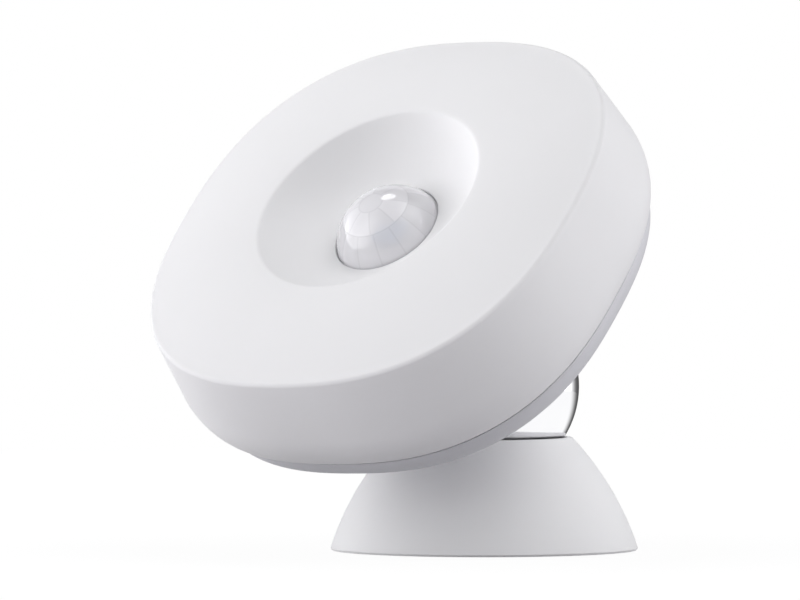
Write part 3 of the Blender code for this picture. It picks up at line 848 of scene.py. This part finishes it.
def lens_cells():
    """Directions of the lens's cells: one in the middle, and two rings round it."""
    cells = [Vector((0, 0, 1))]
    for lean, count, start in CELL_RINGS:
        for x, y in on_circle(math.sin(math.radians(lean)), count, start):
            cells.append(Vector((x, y, math.cos(math.radians(lean)))))
    return cells


def dome(radius, rise, top, bulge):
    """Rings of a cap from the rim to the pole. Its cells swell by bulge, inwards if below 0."""
    cells = lens_cells()
    curve = (radius ** 2 + rise ** 2) / (2 * rise)
    limit = math.asin(radius / curve)
    middle = top - curve
    rows = []
    for i in range(DOME_RINGS):
        lean = limit * (1 - i / DOME_RINGS)
        row = []
        for step in range(LENS_STEPS):
            turn = 2 * math.pi * step / LENS_STEPS
            way = Vector((math.sin(lean) * math.cos(turn), math.sin(lean) * math.sin(turn),
                          math.cos(lean)))
            apart = min(way.angle(cell) for cell in cells)
            fade = min(1.0, 6.0 * i / DOME_RINGS)  # no swelling at the rim
            lift = bulge * fade * (1.0 - (apart / math.radians(CELL_HALF_WIDTH)) ** 2)
            row.append(way * (curve + lift - bulge) + Vector((0, 0, middle)))
        rows.append(row)
    rows.append([Vector((0, 0, top))])
    return rows


def lens_collar():
    """Rings from the foot of the outer dome round the collar to the foot of the inner one."""
    bottom = LENS_COLLAR_TOP - LENS_COLLAR_HEIGHT
    inner_radius = LENS_RADIUS - LENS_WALL
    corners = rounded([(LENS_RADIUS, LENS_BASE), (LENS_RADIUS, LENS_BASE - 0.22),
                       (LENS_SHOULDER, LENS_BASE - 0.3), (LENS_SHOULDER, LENS_COLLAR_TOP, 0.1),
                       (LENS_COLLAR_RADIUS, LENS_COLLAR_TOP, 0.1),
                       (LENS_COLLAR_RADIUS, bottom, 0.1), (inner_radius, bottom, 0.1),
                       (inner_radius, LENS_BASE - 0.35)], closed=False)
    turns = [2 * math.pi * step / LENS_STEPS for step in range(LENS_STEPS)]
    return [[Vector((radius * math.cos(turn), radius * math.sin(turn), height)) for turn in turns]
            for radius, height, _ in corners[1:-1]]


def build_lens(finish):
    """Dome, smooth outside and with a swelling for each cell inside, and the collar round it."""
    outside = dome(LENS_RADIUS, LENS_RISE, LENS_TOP, 0.0)
    inside = dome(LENS_RADIUS - LENS_WALL, LENS_RISE - 0.35, LENS_TOP - LENS_WALL, -0.14)
    rows = list(reversed(outside)) + lens_collar() + inside
    first_inside = len(rows) - len(inside)
    bm = bmesh.new()
    made = [[bm.verts.new(p) for p in row] for row in rows]
    for index, (lower, upper) in enumerate(zip(made, made[1:])):
        for face in band(bm, lower, upper):
            face.material_index = 1 if index >= first_inside else 0
    lens = piece("lens", bm, finish["lens"], "front", ["fresnel_lens"])
    lens.data.materials.append(finish["lens_inside"])


def build_lens_holder(finish):
    high = LENS_COLLAR_TOP - LENS_COLLAR_HEIGHT - GAP
    low = high - 0.9
    parts = [ring([(6.0, high, 0.1), (9.6, high, 0.15), (9.6, low, 0.15), (6.6, low, 0.15)])]
    for index, (x, y) in enumerate(on_circle(9.0, start=30)):
        foot = block((-0.5, -0.9, high - 1.3), (0.5, 0.9, high - 0.4), 0.15)
        parts.append(moved(foot, x, y, spin=30 + 120 * index))
    piece("lens_holder", joined(parts), finish["inner"], "front",
          ["lens_retainer"])


def build_sensor(finish):
    low = BOARD_FRONT + GAP
    top = low + 3.4
    can = ring([(1.2, low), (4.6, low, 0.08), (4.6, low + 0.4, 0.1), (4.15, low + 0.5, 0.1),
                (4.15, top, 0.35), (2.9, top, 0.05), (2.9, top - 0.5, 0.05), (1.2, top - 0.5)])
    tab = moved(block((4.3, -0.45, low), (5.4, 0.45, low + 0.4), 0.08), spin=45)
    piece("sensor_can", joined([can, tab]), finish["steel"], "front", ["pir_sensor"])
    piece("sensor_window", block((-2.0, -1.5, top - 0.45), (2.0, 1.5, top + 0.1), 0.08),
          finish["window"], "front", ["pir_window"])


# ---- board and battery

def build_board(finish):
    """Board with three screws, each through a hole with a tinned pad round it."""
    outline = ring([(0.6, BOARD_BACK), (BOARD_HALF_WIDTH, BOARD_BACK, 0.08, BACK_EXPONENT),
                    (BOARD_HALF_WIDTH, BOARD_FRONT, 0.08, BACK_EXPONENT),
                    (0.6, BOARD_FRONT)], LARGE_STEPS)
    head_length = 0.9
    holes = []
    pads = []
    for number, (x, y) in enumerate(on_circle(SCREW_CIRCLE), 1):
        holes.append(moved(disc([(0, BOARD_BACK - 1), (1.2, BOARD_BACK - 1),
                                 (1.2, BOARD_FRONT + 1), (0, BOARD_FRONT + 1)], SMALL_STEPS), x, y))
        pads.append(moved(ring([(1.25, BOARD_BACK - 0.06), (2.2, BOARD_BACK - 0.06, 0.03),
                                (2.2, BOARD_BACK + 0.02), (1.25, BOARD_BACK + 0.02)],
                               SMALL_STEPS), x, y))
        piece(f"head_screw_{number}",
              moved(screw(1.9, head_length, 0.8, 4.4), x, y, BOARD_BACK - GAP - head_length),
              finish["screw"], "front", [f"board_screw_{number}"])
    piece("circuit_board", carved(outline, holes), finish["board"], "front",
          ["main_board"])
    piece("board_pads", joined(pads), finish["tin"], "front")


def build_radio(finish):
    low = BOARD_FRONT + GAP
    high = low + 2.2
    parts = [block((-19.0, -4.0, low), (-10.5, 6.0, high), 0.3)]
    for x in (-17.0, -14.75, -12.5):
        for y in (-2.0, 1.0, 4.0):
            parts.append(moved(disc([(0, high - 0.05), (0.4, high - 0.05), (0.36, high + 0.04),
                                     (0, high + 0.04)], 20), x, y))
    piece("radio_shield", joined(parts), finish["steel"], "front", ["radio_module"])


def build_lamp(finish):
    low = BOARD_FRONT + GAP
    lamp = joined([block((5.1, -0.4, low - 0.28), (6.1, 0.4, low + 0.2), 0.05),
                   block((5.25, -0.35, low + 0.1), (5.95, 0.35, low + 0.6), 0.2)])
    piece("lamp", lamp, finish["led"], "front", ["status_led"])


def build_small_parts(finish):
    """A chip with its leads, and small resistors in rows with their tinned ends."""
    draw = random.Random(5)
    bodies, ends = [], []
    for column in range(6):
        for row in range(4):
            x, y = 9.0 + column * 1.9, -9.5 + row * 2.3
            if math.hypot(x, y) > 18.5 or draw.random() < 0.2:
                continue
            spin = 90 * draw.randint(0, 1)
            z = BOARD_FRONT
            body = block((-0.5, -0.4, z), (0.5, 0.4, z + 0.45), 0.05, 1)
            bodies.append(moved(body, x, y, spin=spin))
            for side in (-1, 1):
                end = block((side * 0.66 - 0.2, -0.42, z), (side * 0.66 + 0.2, 0.42, z + 0.5),
                            0.06, 1)
                ends.append(moved(end, x, y, spin=spin))
    chip = block((-2.2, -2.2, BOARD_FRONT + 0.05), (2.2, 2.2, BOARD_FRONT + 0.95), 0.12, 2)
    leads = []
    for side in range(4):
        for k in range(6):
            y = -1.55 + 0.6 * k
            lead = block((2.15, y, BOARD_FRONT), (2.75, y + 0.25, BOARD_FRONT + 0.3), 0.05, 1)
            leads.append(moved(lead, *CHIP_PLACE, spin=90 * side))
    piece("chip", moved(chip, *CHIP_PLACE), finish["black"], "front")
    piece("chip_leads", joined(leads), finish["tin"], "front")
    piece("small_parts", joined(bodies), finish["ceramic"], "front")
    piece("solder_ends", joined(ends), finish["tin"], "front")


def build_battery_tray(finish):
    """Holder round the cell, notched for the clip and for a finger."""
    low, high = CELL_TOP + GAP, BOARD_BACK - GAP
    bore = CELL_RADIUS + GAP
    wall = bore + 1.4
    tray = ring([(5.2, low, 0.1), (5.2, high, 0.1), (wall, high, 0.15),
                 (wall, CELL_BACK + 0.6, 0.3), (bore, CELL_BACK + 0.6, 0.3), (bore, low, 0.1)])
    notch = block((-4.0, bore - 2.0, CELL_BACK - 1), (4.0, wall + 1, high + 1))
    finger = block((-3.2, -wall - 1, CELL_BACK - 1), (3.2, -bore + 2.0, CELL_BACK + 2.6), 0.5)
    piece("cell_holder", carved(tray, [notch, finger]), finish["black"], "front",
          ["battery_tray"])


def build_cell(finish):
    cell = disc([(0, CELL_BACK), (CELL_RADIUS - 2.2, CELL_BACK, 0.1),
                 (CELL_RADIUS - 2.0, CELL_BACK + 0.06, 0.1),
                 (CELL_RADIUS, CELL_BACK + 0.06, 0.5), (CELL_RADIUS, CELL_TOP - 0.9, 0.3),
                 (CELL_RADIUS - 0.5, CELL_TOP - 0.45, 0.2),
                 (CELL_RADIUS - 1.35, CELL_TOP - 0.45, 0.08),
                 (CELL_RADIUS - 1.35, CELL_TOP, 0.25), (0, CELL_TOP)], LARGE_STEPS)
    piece("button_cell", cell, finish["cell"], "front", ["coin_cell"])
    gasket = ring([(CELL_RADIUS - 1.3, CELL_TOP - 0.43), (CELL_RADIUS - 0.85, CELL_TOP - 0.43),
                   (CELL_RADIUS - 0.9, CELL_TOP - 0.2, 0.05), (CELL_RADIUS - 1.3, CELL_TOP - 0.2)])
    piece("cell_gasket", gasket, finish["black"], "front")


def build_contacts(finish):
    """Strip beside the cell's rim with two tongues, and a coned ring behind its face."""
    low, high = CELL_TOP + GAP, BOARD_BACK - GAP
    y = CELL_RADIUS + 0.35
    clip = [block((-3.0, y, CELL_BACK + 1.0), (3.0, y + 0.4, high), 0.12)]
    for x in (-1.7, 1.7):
        clip.append(block((x - 0.8, y - 0.2, CELL_BACK + 2.2), (x + 0.8, y + 0.2, CELL_BACK + 3.6),
                          0.18))
    piece("positive_spring", joined(clip), finish["contact"], "front",
          ["battery_positive_clip"])
    contact = ring([(1.2, low, 0.05), (4.6, low + 0.25, 0.05), (4.6, high, 0.1),
                    (1.2, low + 0.35, 0.05)], 64)
    piece("negative_spring", contact, finish["contact"], "front",
          ["battery_negative_contact"])


# ---- studio

AIM = Vector((-0.00803, -0.00585, 0.02951))
VIEW_AZIMUTH = 37.54  # degrees
VIEW_ELEVATION = 1.46
VIEW_DISTANCE = 1.2014
FOCAL_LENGTH = 458.2


def direction(azimuth, elevation):
    """From the object, azimuth in degrees measured from the camera's, positive to its right."""
    a = math.radians(VIEW_AZIMUTH) + math.radians(azimuth)
    e = math.radians(elevation)
    return Vector((math.sin(a) * math.cos(e), -math.cos(a) * math.cos(e), math.sin(e)))


def aimed(name, data, azimuth, elevation, distance):
    """New object in the scene that looks at the aim point from a distance."""
    back = direction(azimuth, elevation)
    item = placed(name, data)
    item.location = AIM + back * distance
    item.rotation_euler = (-back).to_track_quat("-Z", "Y").to_euler()
    return item


def build_camera():
    data = bpy.data.cameras.new("camera")
    data.lens = FOCAL_LENGTH
    data.clip_start = 0.05
    data.clip_end = 60.0
    bpy.context.scene.camera = aimed("camera", data, 0.0, VIEW_ELEVATION, VIEW_DISTANCE)


# Soft lobes of studio light: (azimuth, elevation, sharpness, strength)
LOBES = {
    "left_behind_low": (-130, 0, 16, 4.83),
    "left_side_low": (-110, 0, 16, 1.60),
    "left_low": (-90, 0, 16, 1.92),
    "left": (-90, 30, 14, 0.18),
    "left_front_low": (-70, 0, 16, 2.58),
    "left_front": (-60, 30, 14, 2.17),
    "right_front": (30, 30, 14, 1.17),
    "right": (60, 30, 14, 0.18),
    "right_high": (60, 60, 14, 3.10),
    "right_low": (90, 0, 16, 2.58),
    "right_side_low": (110, 0, 16, 0.88),
    "right_behind_low": (125, 0, 5, 1.1),
}

# Softbox whose reflection shows in the lens, in degrees, metres and watts
SOFTBOX_WAY = (-151, 72)
SOFTBOX_DISTANCE = 0.9
SOFTBOX_SIZE = 0.285
SOFTBOX_POWER = 1.0

# Unlit studio behind the object, which edges the ball's reflection, in degrees
DARK_WAY = (180, 0)
DARK_INNER = 20  # fully dark within this angle of its middle
DARK_OUTER = 53  # fully lit beyond this one
DARK_GLOW = 0.1

# Floor, in metres; its colour is painted darker close to the foot, a painted shade under the object
FLOOR_RADIUS = 0.3
FLOOR_THICKNESS = 0.01
FLOOR_DROP = 0.0002
FLOOR_NEAR, FLOOR_FAR = 0.02, 0.07
FLOOR_DARK, FLOOR_PALE = 0.33, 0.68
FLOOR_TINT = (0.98, 0.96, 1.0)
FLOOR_WHITE = 1.04  # strength of its glow
FLOOR_GLOW_SHARE = 0.93  # the camera sees this much glow, and real shading for the rest


def facing(tree, way, azimuth, elevation):
    """Cosine between a node's direction and a fixed one."""
    fixed = direction(azimuth, elevation)
    return vector_maths(tree, "DOT_PRODUCT", way, fixed).outputs["Value"]


def ramp(tree, value, start, end, first, last):
    """Smooth step from one value to another."""
    step = tree.nodes.new("ShaderNodeMapRange")
    step.interpolation_type = "SMOOTHSTEP"
    for socket, number in (("From Min", start), ("From Max", end), ("To Min", first),
                           ("To Max", last)):
        step.inputs[socket].default_value = number
    tree.links.new(value, step.inputs["Value"])
    return step.outputs["Result"]


def dimmed(tree, way, strength):
    """The strength, fading out in the unlit directions."""
    share = ramp(tree, facing(tree, way, *DARK_WAY), math.cos(math.radians(DARK_OUTER)),
                 math.cos(math.radians(DARK_INNER)), 1.0, 0.0)
    lit = maths(tree, "MULTIPLY", strength, share)
    rest = maths(tree, "MULTIPLY", maths(tree, "SUBTRACT", 1.0, share), DARK_GLOW)
    return maths(tree, "ADD", lit, rest)


def mixed(tree, share, first, second, output):
    """Wire a mix of two shader nodes to an output node."""
    mix = tree.nodes.new("ShaderNodeMixShader")
    for socket, source in zip(mix.inputs, (share, first.outputs[0], second.outputs[0])):
        tree.links.new(source, socket)
    tree.links.new(mix.outputs[0], output.inputs["Surface"])


def build_world():
    """White to the camera; soft lobes of light to everything else."""
    world = bpy.data.worlds.new("studio")
    bpy.context.scene.world = world
    world.use_nodes = True
    tree = world.node_tree
    tree.nodes.clear()
    way = tree.nodes.new("ShaderNodeTexCoord").outputs["Generated"]

    total = 0.0
    for azimuth, elevation, sharpness, strength in LOBES.values():
        cosine = maths(tree, "MAXIMUM", facing(tree, way, azimuth, elevation), 0.0)
        lobe = maths(tree, "MULTIPLY", maths(tree, "POWER", cosine, sharpness), strength)
        total = maths(tree, "ADD", total, lobe)
    total = dimmed(tree, way, total)
    soft = tree.nodes.new("ShaderNodeBackground")
    tree.links.new(total, soft.inputs["Strength"])
    soft.inputs["Color"].default_value = (0.987, 0.988, 1.0, 1.0)
    plain = tree.nodes.new("ShaderNodeBackground")
    plain.inputs["Color"].default_value = (1, 1, 1, 1)
    seen = tree.nodes.new("ShaderNodeLightPath").outputs["Is Camera Ray"]
    mixed(tree, seen, soft, plain, tree.nodes.new("ShaderNodeOutputWorld"))


def build_softbox():
    light = bpy.data.lights.new("softbox", "AREA")
    light.shape = "DISK"
    light.size = SOFTBOX_SIZE
    light.energy = SOFTBOX_POWER
    aimed("softbox", light, *SOFTBOX_WAY, SOFTBOX_DISTANCE)


def floor_material():
    """Pale shading that is mostly hidden by a white glow for the camera and in reflections."""
    material = bpy.data.materials.new("floor")
    material.use_nodes = True
    tree = material.node_tree
    shader = tree.nodes["Principled BSDF"]
    shader.inputs["Roughness"].default_value = 0.9
    place = tree.nodes.new("ShaderNodeTexCoord").outputs["Object"]
    spread = vector_maths(tree, "LENGTH", place).outputs["Value"]
    tinted = vector_maths(tree, "SCALE", FLOOR_TINT)
    # Painted shade: the floor's colour darkens close to the foot, under the object
    tree.links.new(ramp(tree, spread, FLOOR_NEAR, FLOOR_FAR, FLOOR_DARK, FLOOR_PALE),
                   tinted.inputs["Scale"])
    tree.links.new(tinted.outputs["Vector"], shader.inputs["Base Color"])
    away = vector_maths(tree, "SUBTRACT", place, PIVOT)
    way = vector_maths(tree, "NORMALIZE", away.outputs["Vector"])
    rays = tree.nodes.new("ShaderNodeLightPath")
    glow = tree.nodes.new("ShaderNodeEmission")
    mirrored = maths(tree, "MULTIPLY", dimmed(tree, way.outputs["Vector"], FLOOR_WHITE),
                     rays.outputs["Is Glossy Ray"])
    direct = maths(tree, "MULTIPLY", rays.outputs["Is Camera Ray"], FLOOR_WHITE)
    tree.links.new(maths(tree, "ADD", mirrored, direct), glow.inputs["Strength"])
    share = maths(tree, "MAXIMUM", rays.outputs["Is Glossy Ray"],
                  maths(tree, "MULTIPLY", rays.outputs["Is Camera Ray"], FLOOR_GLOW_SHARE))
    mixed(tree, share, shader, glow, tree.nodes["Material Output"])
    return material


def build_floor():
    floor = solid("floor", turned([(0, 0), (FLOOR_RADIUS, 0), (FLOOR_RADIUS, -FLOOR_THICKNESS),
                                   (0, -FLOOR_THICKNESS)], closed=False))
    floor.location.z = -FLOOR_DROP
    floor.data.materials.append(floor_material())


def main():
    finish = build_materials()
    for build in (build_foot_shell, build_foot_plate, build_foot_magnet, build_foot_pad,
                  build_foot_screws, build_seat, build_ball, build_magnet, build_cover,
                  build_button, build_switch, build_housing, build_lens, build_lens_holder,
                  build_sensor, build_board, build_radio, build_lamp, build_small_parts,
                  build_battery_tray, build_cell, build_contacts):
        build(finish)
    build_camera()
    build_world()
    build_softbox()
    build_floor()
    bpy.context.scene.view_settings.view_transform = "Standard"


main()
